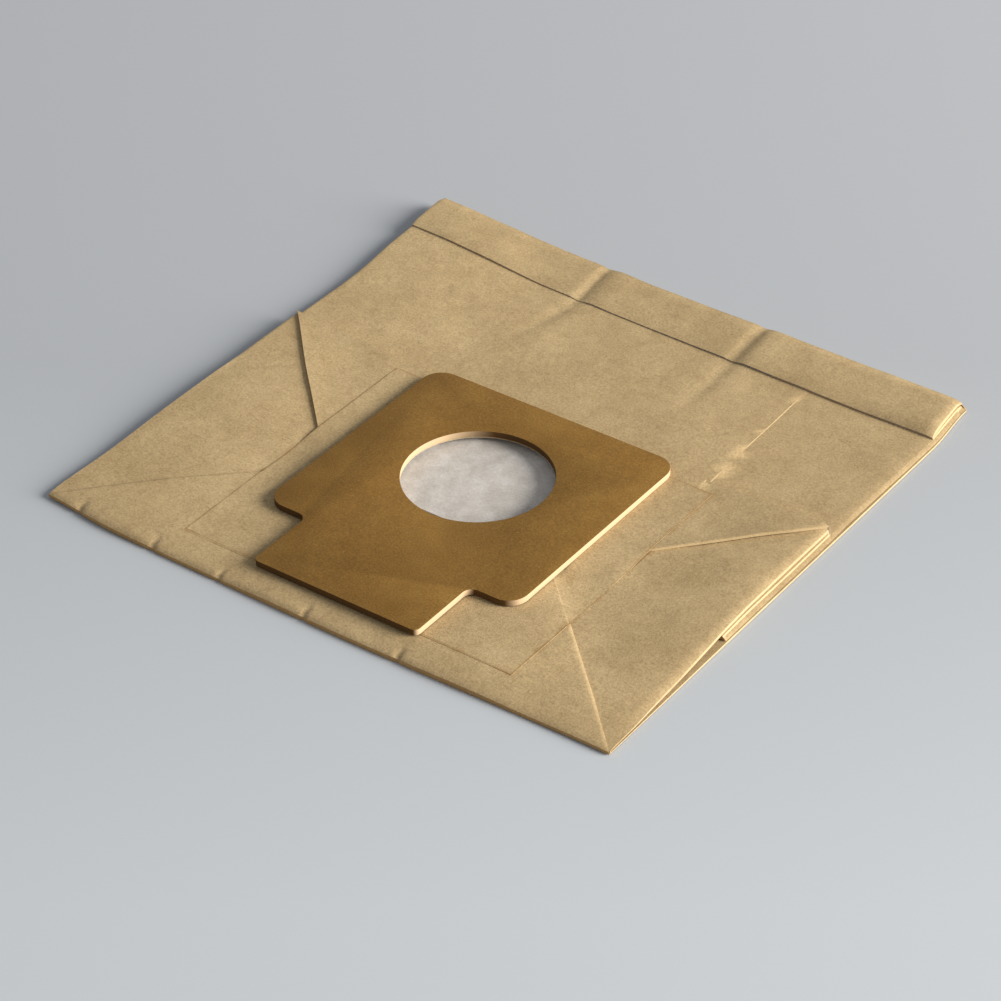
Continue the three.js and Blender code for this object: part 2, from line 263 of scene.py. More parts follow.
@dataclass(frozen=True)
class FoldedStack:
    """The folded paper as the solids have it, in millimetres. y runs back from the front fold.

    A level is one panel of two plies: the bottom one is level 0, and the next lies a pitch higher. A
    pinch is the share of the height that a fold loses, and a run is how far back from the fold it goes.
    over_body, over_tucks, past_base and hair are small margins, so that no point lies on a limit.
    """

    half_width: float = 100.0
    length: float = 200.0
    base_depth: float = 117.0
    pitch: float = 0.3
    panel: float = 0.23
    body_level: int = 3
    tuck_level: int = 7
    closure_level: int = 7
    front_flap_level: int = 9
    back_flap_level: int = 10
    front_crease: float = 1.0
    front_run: float = 6.9
    base_step: float = 0.9
    base_run: float = 4.5
    closure_crease: float = 1.6
    closure_run: float = 5.0
    over_body: float = 0.004
    over_tucks: float = 0.02
    past_base: float = 0.01
    hair: float = 0.001
    side_pinch: float = 0.5
    side_run: float = 0.8
    curl_run: float = 7.0
    curl_start: Pair = (0.0, 12.0)
    curl_end: Pair = (40.0, 46.0)
    strip_front: Pair = (181.0, 177.0)
    strip_from_base: float = 10.0
    strip_pinch: float = 0.5
    strip_run: float = 5.0
    drape: Pair = (-9.0, 0.3)
    back_flap_front: Pair = (50.5, 53.5)

    def top_of(self, level: int) -> float:
        """Give the height of a level's upper face."""
        return level * self.pitch + self.panel

    @property
    def body_top(self) -> float:
        """The top of the bag's walls and gussets, which the base and the closure lie on."""
        return self.top_of(self.body_level)

    @property
    def flap_floor(self) -> float:
        """A height just over the tucks: what lies higher belongs to a flap."""
        return self.top_of(self.tuck_level) + self.over_tucks

    def before_base_end(self, y: Array) -> Array:
        """Tell which places lie in front of the base's back edge."""
        return y < self.base_depth + self.past_base

    def flattened(self, y: Array, z: Array) -> Array:
        """Undo the solids' pressed creases, so that each panel lies level again.

        Args:
            y: Places along the bag.
            z: Heights in the solids.

        Returns:
            Heights in the level stack.
        """
        front = mix(self.front_crease / self.top_of(self.front_flap_level), 1.0, ramp(y, 0.0, self.front_run))
        closure = mix(1.0, self.closure_crease / self.top_of(self.closure_level),
                      ramp(y, self.length - self.closure_run, self.length))
        base = mix(1.0, self.base_step / (self.top_of(self.back_flap_level) - self.body_top),
                   ramp(y, self.base_depth - self.base_run, self.base_depth))
        level = z / (front * closure)
        on_base = (level > self.body_top + self.over_body) & self.before_base_end(y)
        return np.where(on_base, self.body_top + (level - self.body_top) / base, level)

    def from_mitres(self, x: Array, y: Array) -> tuple[Array, Array]:
        """Give how far a place lies inside the front flap and inside the back flap.

        Args:
            x: Places across the bag.
            y: Places along the bag.

        Returns:
            Two distances from the mitred edges, negative on the tucks beside the flap.
        """
        reach = self.half_width - np.abs(x)
        return (reach - y) / math.sqrt(2), (reach - (self.base_depth - y)) / math.sqrt(2)

    def pinched(self, x: Array, y: Array, z: Array) -> Array:
        """Press the stack flatter at the closure's cut edge, the side folds and the mitred edges.

        Args:
            x: Places across the bag.
            y: Places along the bag.
            z: Heights in the level stack.

        Returns:
            The pressed heights.
        """
        strip = np.interp(x, [-self.half_width, self.half_width], self.strip_front)
        on_strip = (z > self.body_top) & (y > self.base_depth + self.strip_from_base)
        kept = 1.0 - self.strip_pinch * (1.0 - ramp(y - strip, 0.0, self.strip_run)) ** 2
        z = np.where(on_strip, self.body_top + (z - self.body_top) * kept, z)
        on_flap = (z > self.flap_floor) & self.before_base_end(y)
        from_side = self.half_width - np.abs(x)
        pair = np.floor(z / (2.0 * self.pitch) + self.hair)
        middle = 2.0 * pair * self.pitch + (self.pitch + self.panel) / 2.0
        kept = 1.0 - self.side_pinch * (1.0 - ramp(from_side, 0.0, self.side_run)) ** 2 * (x < 0)
        pressed = np.where(on_flap, z, middle + (z - middle) * kept)
        for corner in Corner:
            pressed = self.creased(corner.value, x, y, z, on_flap, pressed)
        return pressed

    def creased(self, crease: Crease, x: Array, y: Array, z: Array, on_flap: Array, pressed: Array) -> Array:
        """Press one mitred edge and let it stand up.

        Args:
            crease: The mitred edge.
            x: Places across the bag.
            y: Places along the bag.
            z: Heights in the level stack.
            on_flap: Which of the places belong to a flap.
            pressed: Heights so far.

        Returns:
            The heights with this edge creased.
        """
        front, back = self.from_mitres(x, y)
        inside = front if crease.ahead else back
        from_side = self.half_width - np.abs(x)
        here = (x * crease.side > 0) & ((y < self.base_depth / 2) == crease.ahead) & on_flap
        kept = 1.0 - crease.pinch * (1.0 - ramp(inside, 0.0, crease.run)) ** 2
        curl = crease.curl * (1.0 - ramp(inside, 0.0, self.curl_run)) ** 2
        curl = curl * soft(from_side, *self.curl_start) * (1.0 - soft(from_side, *self.curl_end))
        return np.where(here, self.flap_floor + (z - self.flap_floor) * kept + curl, pressed)

    def under_patch(self, x: Array, y: Array) -> Array:
        """Give the height of the flaps and tucks that the patch is glued on.

        Args:
            x: Places across the bag.
            y: Places along the bag.

        Returns:
            The height in the level stack.
        """
        front, back = self.from_mitres(x, y)
        tucks = self.top_of(self.tuck_level)
        on_front = (self.top_of(self.front_flap_level) - tucks) * soft(front, *self.drape)
        on_back = (self.top_of(self.back_flap_level) - tucks) * soft(back, *self.drape)
        return tucks + np.maximum(on_front, on_back * soft(y, *self.back_flap_front))


@dataclass(frozen=True)
class Valley:
    """A crease that runs forward from the closure, with a low ridge on its right. Millimetres."""

    line: Profile
    depth: float
    start: Pair = (140.0, 168.0)
    width: float = 2.3
    ridge: float = 0.5
    ridge_beside: float = 6.0
    ridge_width: float = 4.5

    def share(self, x: Array, y: Array) -> Array:
        """Give how much the crease and its ridge change the height.

        Args:
            x: Places across the bag.
            y: Places along the bag.

        Returns:
            The change as a share of the level height, negative in the crease.
        """
        line = read_profile(self.line, y)
        ridge = self.ridge * bell(x, line + self.ridge_beside, self.ridge_width)
        return self.depth * soft(y, *self.start) * (ridge - bell(x, line, self.width))


@dataclass(frozen=True)
class PressedShare:
    """The share of the level stack's height that the paper keeps. Places in millimetres.

    right and left are profiles along the side folds. front is the share at the front fold, on the left
    and on the right. Behind the base the walls sag, with a low crown in the middle of the sag.
    """

    right_side: Pair = (48.0, 99.0)
    left_side: Pair = (46.0, 99.0)
    right: Profile = ((0, 8, 20, 40, 60, 200), (0.50, 0.66, 0.88, 1.15, 1.25, 1.2))
    left: Profile = ((0, 8, 25, 60, 120, 200), (0.50, 0.64, 0.75, 0.82, 0.86, 0.95))
    front: Pair = (0.86, 0.60)
    front_across: Pair = (-20.0, 45.0)
    front_run: float = 11.0
    front_round: float = 0.30
    front_round_run: float = 1.8
    front_round_power: float = 1.6
    behind_base: Pair = (119.0, 131.0)
    sag: float = 0.30
    sag_x: float = -3.0
    sag_width: float = 31.0
    crown: float = 0.10
    crown_width: float = 17.0
    least: float = 0.1
    back: float = 0.72
    back_run: Pair = (196.5, 200.0)
    valleys: tuple[Valley, ...] = (
        Valley(((150.0, 179.0, 201.0), (-38.2, -32.9, -32.9)), 0.30),
        Valley(((150.0, 179.0, 201.0), (27.8, 26.5, 27.7)), 0.28),
    )

    def at(self, x: Array, y: Array) -> Array:
        """Give the share that the paper keeps.

        Args:
            x: Places across the bag.
            y: Places along the bag.

        Returns:
            The share at each place.
        """
        front = mix(*self.front, soft(x, *self.front_across))
        middle = mix(front, 1.0, soft(y, 0.0, self.front_run))
        share = mix(middle, read_profile(self.right, y), soft(x, *self.right_side))
        share = mix(share, read_profile(self.left, y), soft(-x, *self.left_side))
        crown = self.crown * bell(x, self.sag_x, self.crown_width)
        sag = self.sag * bell(x, self.sag_x, self.sag_width)
        share = share + (crown - sag) * soft(y, *self.behind_base)
        for valley in self.valleys:
            share = share + valley.share(x, y)
        at_back = mix(1.0, self.back, soft(y, *self.back_run))
        at_front = (1.0 - ramp(y, 0.0, self.front_round_run)) ** self.front_round_power
        return np.maximum(share, self.least) * at_back * (1.0 - self.front_round * at_front)


@dataclass(frozen=True)
class SprungGussets:
    """How far the gussets spring open, in millimetres.

    The profiles run along the right and the left side. The swell is behind the base.
    """

    right_side: Pair = (52.0, 99.0)
    left_side: Pair = (60.0, 99.0)
    lower_right: Profile = ((0, 6, 22, 58, 118, 160, 188, 200), (0, 0, 0.03, 0.3, 0.85, 0.5, 0.25, 0.2))
    upper_right: Profile = ((0, 6, 22, 58, 95, 118, 176, 190, 197, 200),
                            (0, 0, 0.04, 0.4, 1.1, 0.8, 0.3, 0.45, 0.8, 0.5))
    lower_left: Profile = ((0, 20, 60, 200), (0, 0.05, 0.15, 0.15))
    upper_left: Profile = ((0, 20, 60, 200), (0, 0.1, 0.2, 0.15))
    swell: float = 0.55
    swell_start: Pair = (112.5, 124.0)
    swell_end: Pair = (126.0, 176.0)
    swell_x: float = 18.0
    swell_width: float = 46.0
    swell_at_sides: float = 0.35

    def at(self, x: Array, y: Array) -> tuple[Array, Array]:
        """Give how far the layers stand apart.

        Args:
            x: Places across the bag.
            y: Places along the bag.

        Returns:
            Two heights: of the opening between the lower and upper gusset, and of the one between the
            base's side triangle and the panel under it.
        """
        to_right = soft(x, *self.right_side)
        to_left = soft(-x, *self.left_side)
        swell = self.swell * soft(y, *self.swell_start) * (1.0 - soft(y, *self.swell_end))
        swell = swell * mix(self.swell_at_sides, 1.0, bell(x, self.swell_x, self.swell_width))
        lower = read_profile(self.lower_right, y) * to_right + read_profile(self.lower_left, y) * to_left
        upper = read_profile(self.upper_right, y) * to_right + read_profile(self.upper_left, y) * to_left
        return lower + swell, upper


@dataclass(frozen=True)
class LeaningBase:
    """How the base's top leans: the bag is fuller on its right, so the card lies aslant."""

    slope: float = 0.011
    middle_x: float = 1.3
    reach: Pair = (-46.0, 47.0)
    nod: float = 0.0015
    nod_reach: Pair = (0.0, 110.0)
    fade: Pair = (47.0, 78.0)

    def at(self, x: Array, from_back: Array) -> Array:
        """Give the height that the lean adds.

        Args:
            x: Places across the bag.
            from_back: How far the places lie in front of the base's back edge.

        Returns:
            The height at each place.
        """
        across = self.slope * np.clip(x - self.middle_x, *self.reach)
        along = self.nod * np.clip(from_back, *self.nod_reach)
        return (across - along) * (1.0 - soft(np.abs(x), *self.fade))


@dataclass(frozen=True)
class LapSeam:
    """The lengthwise seam on the upper wall, where the paper tube laps over itself. Millimetres.

    start and end are x and y of the lap's edge, and the other pairs are where something fades.
    """

    start: Pair = (56.5, 116.5)
    end: Pair = (54.5, 172.0)
    step: float = 0.12
    edge: float = 0.12
    run_out: Pair = (2.0, 14.0)
    behind_base: Pair = (109.0, 116.0)
    closure: float = 182.0

    def line(self, y: Array) -> Array:
        """Give where the lap's edge runs across the bag."""
        return np.interp(y, [self.start[1], self.end[1]], [self.start[0], self.end[0]])

    def at(self, x: Array, y: Array) -> Array:
        """Give the height that the lap adds.

        Args:
            x: Places across the bag.
            y: Places along the bag.

        Returns:
            The height at each place.
        """
        inside = self.line(y) - x
        laps = ramp(inside + self.edge, 0.0, self.edge) * (1.0 - soft(inside, *self.run_out))
        return self.step * laps * soft(y, *self.behind_base) * (y < self.closure)


@dataclass(frozen=True)
class Nicks:
    """The small dents that the front fold has from handling. Millimetres, and depth as a share."""

    places: tuple[float, ...] = (-87.0, -58.0, -33.0, -2.0, 31.0)
    lengths: Pair = (5.0, 7.0)
    start: float = 0.5
    slant: float = 0.35
    width: float = 0.9
    depth: float = 0.25
    push_in: float = 0.35
    push_run: float = 4.0

    def at(self, x: Array, y: Array) -> Array:
        """Give how strongly the fold is dented.

        Args:
            x: Places across the bag.
            y: Places along the bag.

        Returns:
            The strength at each place, from 0 to 1.
        """
        dented = np.zeros_like(x)
        for index, place in enumerate(self.places):
            fade = 1.0 - soft(y, self.start, self.lengths[index % 2])
            dented = dented + bell(x, place - self.slant * y, self.width) * fade
        return dented


@dataclass(frozen=True)
class CurledRim:
    """How far the whole stack stands off the surface, in millimetres: its rim curls up a little."""

    left: float = 1.25
    left_side: Pair = (40.0, 100.0)
    left_along: Profile = ((0, 40, 100, 140, 176, 200), (0.4, 1.3, 1.5, 1.5, 2.2, 1.9))
    right: float = 0.35
    right_side: Pair = (60.0, 100.0)
    front: float = 0.12
    front_run: Pair = (0.0, 26.0)
    back: float = 0.8
    back_run: Pair = (172.0, 200.0)
    uneven: float = 0.25

    def at(self, x: Array, y: Array, half_width: float) -> Array:
        """Give how far the stack is lifted.

        Args:
            x: Places across the bag.
            y: Places along the bag.
            half_width: Half the bag's width.

        Returns:
            The lift at each place.
        """
        left = self.left * soft(-x, *self.left_side) * read_profile(self.left_along, y)
        right = self.right * soft(x, *self.right_side)
        more_on_left = 1.0 - self.uneven * (1.0 + x / half_width)
        front = self.front * (1.0 - soft(y, *self.front_run)) * more_on_left
        back = self.back * soft(y, *self.back_run) * more_on_left
        return np.maximum(np.maximum(left, right), np.maximum(front, back))


@dataclass(frozen=True)
class RoundedRight:
    """The full right side: its upper folds lie further in and curve down. Millimetres."""

    set_in: float = 0.9
    set_in_power: float = 1.5
    set_in_side: Pair = (92.0, 100.0)
    down: float = 0.55
    down_side: Pair = (96.8, 100.0)
    full: Pair = (2.0, 30.0)
    from_height: float = 0.5

    def at(self, x: Array, y: Array, z: Array, top: float) -> tuple[Array, Array]:
        """Give how far each point moves in, and how far down.

        Args:
            x: Places across the bag.
            y: Places along the bag.
            z: Heights in the level stack.
            top: The height where the move is whole.

        Returns:
            The move towards the middle and the move down.
        """
        high = ramp(z, self.from_height, top) * soft(y, *self.full)
        inward = self.set_in * high ** self.set_in_power * ramp(x, *self.set_in_side)
        return inward, self.down * high * ramp(x, *self.down_side) ** 2


@dataclass(frozen=True)
class LooseOutline:
    """How the outline departs from a true square, in millimetres.

    The closed end is shifted and turned, the back left corner is worn, the low layers stand out on the
    right, the curled left rim draws in and the front fold bulges.
    """

    end_run: Pair = (174.0, 200.0)
    end_shift: float = 1.8
    end_turn: float = 1.3
    worn: float = 1.0
    worn_side: Pair = (78.0, 100.0)
    worn_run: Pair = (150.0, 178.0)
    stands_out: float = 1.25
    low_side: Pair = (88.0, 100.0)
    low_height: Pair = (0.0, 0.3)
    front_side: Pair = (45.0, 97.0)
    front_run: Pair = (25.0, 75.0)
    draws_in: float = 1.15
    curled_side: Pair = (75.0, 100.0)
    curled_start: Pair = (0.0, 30.0)
    curled_end: Pair = (145.0, 172.0)
    bulge: float = 2.4
    bulge_left: Pair = (-106.0, -70.0)
    bulge_right: Pair = (0.0, 100.0)
    bulge_run: Pair = (0.0, 14.0)

    def sideways(self, x: Array, y: Array, under_low: Array) -> Array:
        """Give the move across the bag.

        Args:
            x: Places across the bag.
            y: Places along the bag.
            under_low: How far each point lies below the top of the upper gusset.

        Returns:
            The move, positive to the right.
        """
        worn = self.worn * soft(-x, *self.worn_side) * soft(y, *self.worn_run)
        low = ramp(x, *self.low_side) * soft(under_low, *self.low_height)
        out = np.maximum(low, soft(x, *self.front_side) * (1.0 - soft(y, *self.front_run)))
        curled = soft(-x, *self.curled_side) * soft(y, *self.curled_start) * (1.0 - soft(y, *self.curled_end))
        shift = self.end_shift * soft(y, *self.end_run)
        return self.stands_out * out + self.draws_in * curled - shift - worn

    def lengthways(self, x: Array, y: Array, half_width: float) -> Array:
        """Give the move along the bag.

        Args:
            x: Places across the bag.
            y: Places along the bag.
            half_width: Half the bag's width.

        Returns:
            The move, positive to the back.
        """
        across = soft(x, *self.bulge_left) * (1.0 - soft(x, *self.bulge_right))
        bulge = self.bulge * across * (1.0 - soft(y, *self.bulge_run))
        return -bulge - self.end_turn * soft(y, *self.end_run) * x / half_width


@dataclass(frozen=True)
class SoftForm:
    """How the folded stack really lies. Places and heights in millimetres.

    The gussets open above gusset_levels, what lies below the top of low_level stands out on the right,
    and wall_below_top is where the seam's step fades in, below the top of the upper wall.
    """

    stack: FoldedStack = FoldedStack()
    pressed: PressedShare = PressedShare()
    gussets: SprungGussets = SprungGussets()
    leaning: LeaningBase = LeaningBase()
    seam: LapSeam = LapSeam()
    nicks: Nicks = Nicks()
    rim: CurledRim = CurledRim()
    right: RoundedRight = RoundedRight()
    outline: LooseOutline = LooseOutline()
    cockle: float = 0.16
    under_card_x: float = 70.0
    under_card_run: float = 20.0
    under_card_front: Pair = (3.0, 10.0)
    under_card_back: Pair = (108.0, 116.0)
    calm_front: float = 0.35
    calm_run: Pair = (0.0, 14.0)
    gusset_levels: tuple[int, int] = (1, 5)
    low_level: int = 2
    wall_below_top: Pair = (0.3, 0.1)

    def lean(self, x: Array, y: Array) -> Array:
        """Give the height that the base's lean adds."""
        return self.leaning.at(x, self.stack.base_depth - y)

    def dents(self, x: Array, y: Array, waves: Sequence[tuple[Cockle, float]]) -> Array:
        """Give the soft dents of handling, as a share of the level height.

        Args:
            x: Places across the bag.
            y: Places along the bag.
            waves: Each random wave with its share of the cockle.

        Returns:
            The share to add, nearly none under the card and little at the front fold.
        """
        under_card = soft(y, *self.under_card_front) * (1.0 - soft(y, *self.under_card_back))
        under_card = under_card * soft(self.under_card_x - np.abs(x), 0.0, self.under_card_run)
        free = (1.0 - under_card) * mix(self.calm_front, 1.0, soft(y, *self.calm_run))
        return sum(self.cockle * weight * free * wave.at(x, y) for wave, weight in waves)

    def laid(self, points: Array, waves: Sequence[tuple[Cockle, float]]) -> Array:
        """Move points of the level stack to where the paper really lies.

        Args:
            points: Rows of x, y and z in millimetres, in the level stack.
            waves: Each random wave with its share of the cockle.

        Returns:
            The moved points.
        """
        stack = self.stack
        x, y = points[:, 0], points[:, 1]
        z = stack.pinched(x, y, points[:, 2])
        height = z * (self.pressed.at(x, y) + self.dents(x, y, waves)) + self.rim.at(x, y, stack.half_width)
        for level, opening in zip(self.gusset_levels, self.gussets.at(x, y)):
            height = height + opening * ramp(z, stack.top_of(level), (level + 1) * stack.pitch)
        height = height + self.lean(x, y) * ramp(z, 0.0, stack.top_of(stack.back_flap_level))
        on_wall = ramp(z, *(stack.body_top - below for below in self.wall_below_top))
        nicks = self.nicks.at(x, y)
        height = (height + self.seam.at(x, y) * on_wall) * (1.0 - self.nicks.depth * nicks)
        inward, downward = self.right.at(x, y, z, stack.top_of(stack.closure_level))
        moved_x = x - inward + self.outline.sideways(x, y, stack.top_of(self.low_level) - z)
        pushed = self.nicks.push_in * nicks * (1.0 - ramp(y, 0.0, self.nicks.push_run))
        moved_y = y + pushed + self.outline.lengthways(x, y, stack.half_width)
        return np.column_stack([moved_x, moved_y, height - downward])


# Finishes


Link = tuple[bpy.types.Node, str]


def add_node(tree: bpy.types.NodeTree, kind: str, settings: dict[str, object] | None = None,
             **inputs: object) -> bpy.types.Node:
    """Add a node with its settings, socket values and links.

    Args:
        tree: The material's node tree.
        kind: The node's type.
        settings: Properties of the node, and for a colour ramp its stops under the key stops.
        **inputs: For each socket, with spaces as underscores or _N for socket N, a value or a (node,
            output name) link.

    Returns:
        The new node.
    """
    node = tree.nodes.new(kind)
    for key, value in (settings or {}).items():
        if key == "stops":
            stops = node.color_ramp.elements
            while len(stops) < len(value):
                stops.new(0.5)
            for stop, (place, colour) in zip(stops, value):
                stop.position = place
                stop.color = colour
        else:
            setattr(node, key, value)
    for key, value in inputs.items():
        name = key.replace("_", " ").strip()
        socket = node.inputs[int(name)] if name.isdigit() else node.inputs[name]
        if isinstance(value, tuple) and len(value) == 2 and isinstance(value[0], bpy.types.Node):
            tree.links.new(value[0].outputs[value[1]], socket)
        else:
            socket.default_value = value
    return node


def grey(value: float) -> tuple[float, float, float, float]:
    """Give a grey for a ramp's stop."""
    return value, value, value, 1.0


def scale_of(size_mm: float) -> float:
    """Give the scale of a pattern from the real size of its features."""
    return 1 / MM / size_mm


def new_material(name: str) -> tuple[bpy.types.Material, bpy.types.NodeTree]:
    """Make an empty node material.

    Args:
        name: The material's name.

    Returns:
        The material and its node tree.
    """
    material = bpy.data.materials.new(name)
    material.use_nodes = True
    material.node_tree.nodes.clear()
    return material, material.node_tree


def tinted(tree: bpy.types.NodeTree, colour: Link, amount: Link | float, tint: str) -> Link:
    """Lay a colour, given in hex, over another by an amount."""
    node = add_node(tree, "ShaderNodeMixRGB", Fac=amount, Color1=colour, Color2=linear(tint))
    return node, "Color"


@dataclass(frozen=True)
class Fibre:
    """Single fibres that lie one way: turn in radians, length in millimetres, dark or pale."""

    turn: float
    length_mm: float
    pale: bool
    amount: float


@dataclass(frozen=True)
class PulpPaper:
    """Unbleached paper, long fibres pressed on a wire: matt and uneven in tone, with single fibres.

    Real fibres are under 0.05 mm wide, too fine for the render, so the mottle and the grain are drawn
    about ten times as coarse. Folds that face right, towards the lamp, get a painted highlight, and those
    that face forward get painted warm shade, a darker brown that stands in for light through the paper.
    """

    name: str
    base: str
    dark: str
    light: str
    fleck: str
    cloud_mm: float = 22.0
    blotch_mm: float = 4.0
    mottle_mm: float = 0.7
    grain_mm: float = 0.45
    mottle_amount: float = 0.8
    mottle_dark: tuple[float, float, float, float] = (0.66, 0.62, 0.56, 1.0)
    mottle_light: float = 1.32
    blotch_dark: tuple[float, float, float, float] = (0.90, 0.88, 0.85, 1.0)
    blotch_light: float = 1.07
    fibres: tuple[Fibre, ...] = (Fibre(0.6, 2.6, False, 0.55), Fibre(2.2, 2.2, False, 0.45),
                                 Fibre(1.4, 3.0, True, 0.5))
    fibre_slimness: float = 7.0
    fibre_depth_mm: float = 5.0
    fleck_amount: float = 0.5
    roughness: float = 0.88
    grain_height_mm: float = 0.05
    dent_height_mm: float = 0.25
    dent_mm: float = 9.0
    # worn is the colour of the painted highlight on folds that face right, towards the lamp.
    worn: str = "D2BA8E"
    painted_highlight_amount: float = 0.5
    # The painted warm shade: folds that face forward, away from the lamp, are painted a darker warm brown
    # that stands in for light through the paper.
    painted_warm_shade: str = "B98A50"
    painted_warm_shade_amount: float = 0.6
    forward: tuple[float, float, float] = (-0.35, -0.94, 0.0)
    glue: str = "8E6A3C"
    glue_amount: float = 0.0
    glue_mm: float = 0.45
    glue_wander_mm: float = 7.0
    glued_node: str = "base_patch"

    def glue_line(self, tree: bpy.types.NodeTree, where: Link) -> Link:
        """Find the narrow band where glue squeezed out along the patch's edge.

        Args:
            tree: The material's node tree.
            where: The object coordinates.

        Returns:
            The amount of stain, from 0 to 1.
        """
        lowest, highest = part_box(self.glued_node)
        axes = add_node(tree, "ShaderNodeSeparateXYZ", Vector=where)
        sides: list[Link] = []
        for axis, low, high in zip("XY", lowest, highest):
            offset = add_node(tree, "ShaderNodeMath", {"operation": "SUBTRACT"}, _0=(axes, axis),
                              _1=(low + high) / 2)
            size = add_node(tree, "ShaderNodeMath", {"operation": "ABSOLUTE"}, _0=(offset, "Value"))
            beyond = add_node(tree, "ShaderNodeMath", {"operation": "SUBTRACT"}, _0=(size, "Value"),
                              _1=(high - low) / 2)
            sides.append((beyond, "Value"))
        outside = add_node(tree, "ShaderNodeMath", {"operation": "MAXIMUM"}, _0=sides[0], _1=sides[1])
        away = add_node(tree, "ShaderNodeMath", {"operation": "ABSOLUTE"}, _0=(outside, "Value"))
        wander = add_node(tree, "ShaderNodeTexNoise", Vector=where, Scale=scale_of(self.glue_wander_mm),
                          Detail=3.0)
        near = add_node(tree, "ShaderNodeMapRange", Value=(away, "Value"), From_Min=self.glue_mm * MM,
                        From_Max=0.2 * self.glue_mm * MM, To_Min=0.0, To_Max=self.glue_amount)
        patchy = add_node(tree, "ShaderNodeMapRange", Value=(wander, "Fac"), From_Min=0.35, From_Max=0.6,
                          To_Min=0.25, To_Max=1.0)
        stain = add_node(tree, "ShaderNodeMath", {"operation": "MULTIPLY"}, _0=(near, "Result"),
                         _1=(patchy, "Result"))
        wide = add_node(tree, "ShaderNodeMapRange", Value=(away, "Value"), From_Min=4.0 * self.glue_mm * MM,
                        From_Max=self.glue_mm * MM, To_Min=0.0, To_Max=0.5 * self.glue_amount)
        smudged = add_node(tree, "ShaderNodeMapRange", Value=(wander, "Fac"), From_Min=0.54,
                           From_Max=0.66, To_Min=0.0, To_Max=1.0)
        smudge = add_node(tree, "ShaderNodeMath", {"operation": "MULTIPLY"}, _0=(wide, "Result"),
                          _1=(smudged, "Result"))
        both = add_node(tree, "ShaderNodeMath", {"operation": "MAXIMUM"}, _0=(stain, "Value"),
                        _1=(smudge, "Value"))
        return both, "Value"

    def mottled(self, tree: bpy.types.NodeTree, where: Link, mottle: bpy.types.Node) -> Link:
        """Lay the mottle and the blotches over the paper's cloudy base tone.

        Args:
            tree: The material's node tree.
            where: The object coordinates.
            mottle: The noise of the mottle.

        Returns:
            The colour.
        """
        cloud = add_node(tree, "ShaderNodeTexNoise", Vector=where, Scale=scale_of(self.cloud_mm),
                         Detail=4.0, Roughness=0.55)
        blotch = add_node(tree, "ShaderNodeTexNoise", Vector=where, Scale=scale_of(self.blotch_mm),
                          Detail=3.0, Roughness=0.6, Distortion=0.6)
        cloudy = add_node(tree, "ShaderNodeValToRGB",
                          {"stops": [(0.30, linear(self.dark)), (0.52, linear(self.base)),
                                     (0.74, linear(self.light))]},
                          Fac=(cloud, "Fac"))
        colour: Link = (cloudy, "Color")
        for noise, dark, light in ((mottle, self.mottle_dark, self.mottle_light),
                                   (blotch, self.blotch_dark, self.blotch_light)):
            tone = add_node(tree, "ShaderNodeValToRGB",
                            {"stops": [(0.30, dark), (0.50, grey(1.0)), (0.70, grey(light))]},
                            Fac=(noise, "Fac"))
            colour = (add_node(tree, "ShaderNodeMixRGB", {"blend_type": "MULTIPLY"},
                               Fac=self.mottle_amount, Color1=colour, Color2=(tone, "Color")), "Color")
        return colour

    def with_fibres(self, tree: bpy.types.NodeTree, where: Link, colour: Link) -> Link:
        """Strew single dark and pale fibres over a colour.

        Args:
            tree: The material's node tree.
            where: The object coordinates.
            colour: The colour under them.

        Returns:
            The colour with the fibres.
        """
        for fibre in self.fibres:
            scale = (scale_of(fibre.length_mm), scale_of(fibre.length_mm / self.fibre_slimness),
                     scale_of(self.fibre_depth_mm))
            turned = add_node(tree, "ShaderNodeMapping", Vector=where, Rotation=(0.0, 0.0, fibre.turn),
                              Scale=scale)
            noise = add_node(tree, "ShaderNodeTexNoise", Vector=(turned, "Vector"), Scale=1.0, Detail=1.0,
                             Roughness=0.5)
            picked = add_node(tree, "ShaderNodeMapRange", Value=(noise, "Fac"), From_Min=0.69,
                              From_Max=0.76, To_Min=0.0, To_Max=fibre.amount * self.fleck_amount)
            colour = tinted(tree, colour, (picked, "Result"), self.light if fibre.pale else self.fleck)
        return colour

    def painted_fold_light(self, tree: bpy.types.NodeTree, colour: Link) -> Link:
        """Paint a highlight on the folds that face right and warm shade on those that face forward.

        Args:
            tree: The material's node tree.
            colour: The colour of the flat paper.

        Returns:
            The colour with the painted highlight and the painted warm shade.
        """
        geometry = add_node(tree, "ShaderNodeNewGeometry")
        facing = add_node(tree, "ShaderNodeSeparateXYZ", Vector=(geometry, "Normal"))
        # Painted highlight: folds whose normal faces right, towards the lamp, are painted in the worn colour.
        to_right = add_node(tree, "ShaderNodeMapRange", Value=(facing, "X"), From_Min=0.3, From_Max=0.75,
                            To_Min=0.0, To_Max=self.painted_highlight_amount)
        colour = tinted(tree, colour, (to_right, "Result"), self.worn)
        # Painted warm shade: folds whose normal faces forward, away from the lamp, are painted darker warm
        # brown.
        forward = add_node(tree, "ShaderNodeVectorMath", {"operation": "DOT_PRODUCT"},
                           _0=(geometry, "Normal"), _1=self.forward)
        ahead = add_node(tree, "ShaderNodeMapRange", Value=(forward, "Value"), From_Min=0.45,
                         From_Max=0.85, To_Min=0.0, To_Max=self.painted_warm_shade_amount)
        return tinted(tree, colour, (ahead, "Result"), self.painted_warm_shade)

